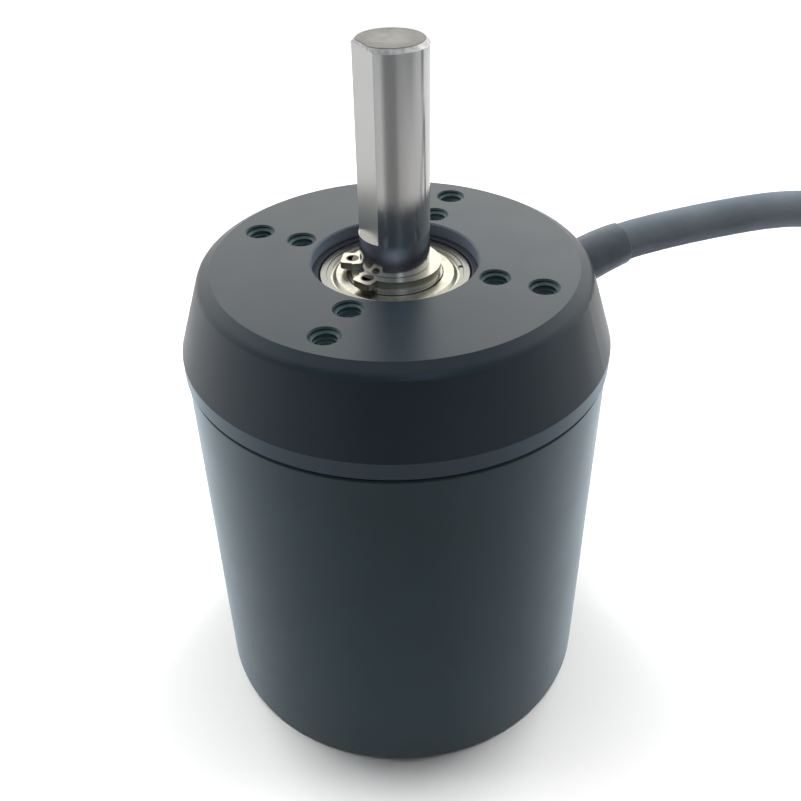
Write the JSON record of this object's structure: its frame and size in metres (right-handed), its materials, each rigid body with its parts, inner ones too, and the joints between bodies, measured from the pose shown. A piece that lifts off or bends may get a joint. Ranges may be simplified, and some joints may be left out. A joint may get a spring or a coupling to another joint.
{
  "type": "brushless dc motor",
  "caption": "Sealed outer-rotor brushless DC motor: smooth turning can, fixed front cap with tapped holes, D-cut shaft in shielded bearings, jacketed lead out of the cap's flank.",
  "frame": {"origin": "bottom centre of the can, on the shaft's axis", "axes": "+Z along the shaft, out of the mounting face; +X through one pair of tapped holes; the lead leaves the cap at 45 degrees between +X and +Y"},
  "size_m": [0.1926, 0.1183, 0.1054],
  "materials": {
    "cap": "satin black anodised",
    "can": "satin black coated steel",
    "rear_cover": "satin black anodised, turned",
    "shaft": "ground and polished",
    "bearing_steel": "ground",
    "plated": "bright nickel",
    "ball": "polished",
    "cage": "moulded",
    "spring_steel": "rolled",
    "lamination": "stacked sheets",
    "insulator": "moulded",
    "copper": "enamelled",
    "link": "sleeved wire",
    "board": "solder mask",
    "chip": "moulded",
    "screw": "plated",
    "grub": "black oxide",
    "magnet": "plated",
    "sleeve": "shrunk tube",
    "cable": "soft matt jacket",
    "sensor_wire": "soft matt jacket",
    "wire_red": "silicone",
    "wire_yellow": "silicone",
    "wire_blue": "silicone",
    "gold": "gold plated",
    "nylon": "moulded nylon"
  },
  "bodies": {
    "stator": {"front_cap": "cap", "front_outer_ring": "bearing_steel", "front_shields": "plated", "front_snap_rings": "plated", "rear_outer_ring": "bearing_steel", "rear_shields": "plated", "rear_snap_rings": "plated", "wave_washer": "spring_steel", "stator_core": "lamination", "top_insulator": "insulator", "bottom_insulator": "insulator", "phase_u_coils": "copper", "phase_v_coils": "copper", "phase_w_coils": "copper", "phase_links": "link", "star_joint": "sleeve", "hall_board": "board", "hall_sensors": "chip", "board_screws": "screw", "inner_lead_u": "wire_red", "inner_lead_v": "wire_yellow", "inner_lead_w": "wire_blue", "inner_sensor_lead": "sensor_wire", "strain_sleeve": "sleeve", "cable": "cable", "cable_coil": "cable", "cable_tail": "cable", "cable_tie": "nylon", "end_boot": "sleeve", "phase_lead_u": "wire_red", "phase_lead_v": "wire_yellow", "phase_lead_w": "wire_blue", "bullet_u": "gold", "bullet_v": "gold", "bullet_w": "gold", "bullet_sleeve_u": "wire_red", "bullet_sleeve_v": "wire_yellow", "bullet_sleeve_w": "wire_blue", "sensor_lead": "sensor_wire", "sensor_plug": "nylon"},
    "rotor": {"shaft": "shaft", "shaft_circlip": "plated", "shim_washer": "bearing_steel", "front_inner_ring": "bearing_steel", "rear_inner_ring": "bearing_steel", "rear_spacer": "bearing_steel", "rotor_can": "can", "magnets": "magnet", "rear_cover": "rear_cover", "grub_screws": "grub"},
    "front_rolling": {"front_balls": "ball", "front_cage": "cage"},
    "rear_rolling": {"rear_balls": "ball", "rear_cage": "cage"}
  },
  "joints": [
    {"name": "rotor_spin", "type": "hinge", "parent": "stator", "child": "rotor", "pos_m": [0, 0, 0], "axis": [0, 0, 1], "continuous": true},
    {"name": "front_balls_orbit", "type": "hinge", "parent": "stator", "child": "front_rolling", "pos_m": [0, 0, 0], "axis": [0, 0, 1], "continuous": true},
    {"name": "rear_balls_orbit", "type": "hinge", "parent": "stator", "child": "rear_rolling", "pos_m": [0, 0, 0], "axis": [0, 0, 1], "continuous": true}
  ],
  "couplings": [
    {"joint": "front_balls_orbit", "follows": "rotor_spin", "ratio": 0.4008},
    {"joint": "rear_balls_orbit", "follows": "rotor_spin", "ratio": 0.4008}
  ]
}
